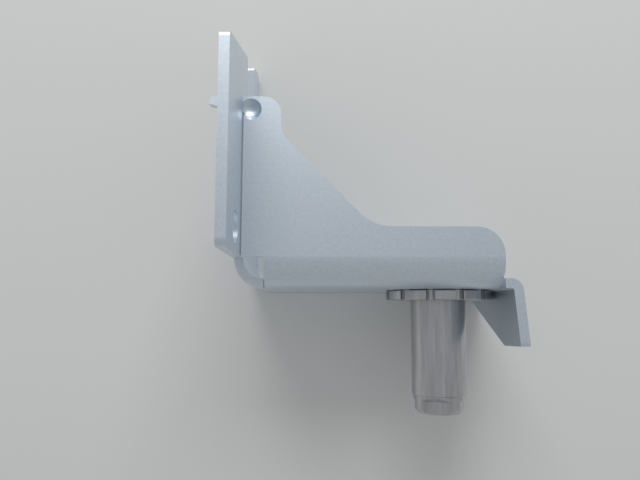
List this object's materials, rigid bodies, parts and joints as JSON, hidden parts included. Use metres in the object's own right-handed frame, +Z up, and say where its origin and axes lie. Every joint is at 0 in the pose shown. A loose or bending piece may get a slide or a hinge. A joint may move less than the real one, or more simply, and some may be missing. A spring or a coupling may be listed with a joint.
{
  "type": "refrigerator door hinge",
  "caption": "Folded zinc-plated steel hinge bracket with a gusseted arm, a stop tab and a downward hinge pin with a toothed disc and a square end.",
  "frame": {"origin": "on the hinge pin's axis, at the lower face of the toothed disc, where the door bears", "axes": "+X along the arm away from the cabinet, +Y away from the gusset, +Z up; the pin's free end points to -Z and the mounting face looks to -X"},
  "size_m": [0.0632, 0.0522, 0.0804],
  "materials": {
    "zinc_sheet": "bright zinc plating with a fine mottled grain and a faint blue and purple tint",
    "pin_steel": "turned steel, zinc plated, with fine marks along its length",
    "disc_steel": "zinc plated, a little duller than the pin",
    "ring_steel": "dark spring steel"
  },
  "bodies": {
    "frame": {"bracket": "zinc_sheet"},
    "pin": {"hinge_pin": "pin_steel", "toothed_disc": "disc_steel", "retaining_ring": "ring_steel"}
  },
  "joints": [
    {"name": "pin_turn", "type": "hinge", "parent": "frame", "child": "pin", "pos_m": [0, 0, 0], "axis": [0, 0, 1], "continuous": true}
  ]
}
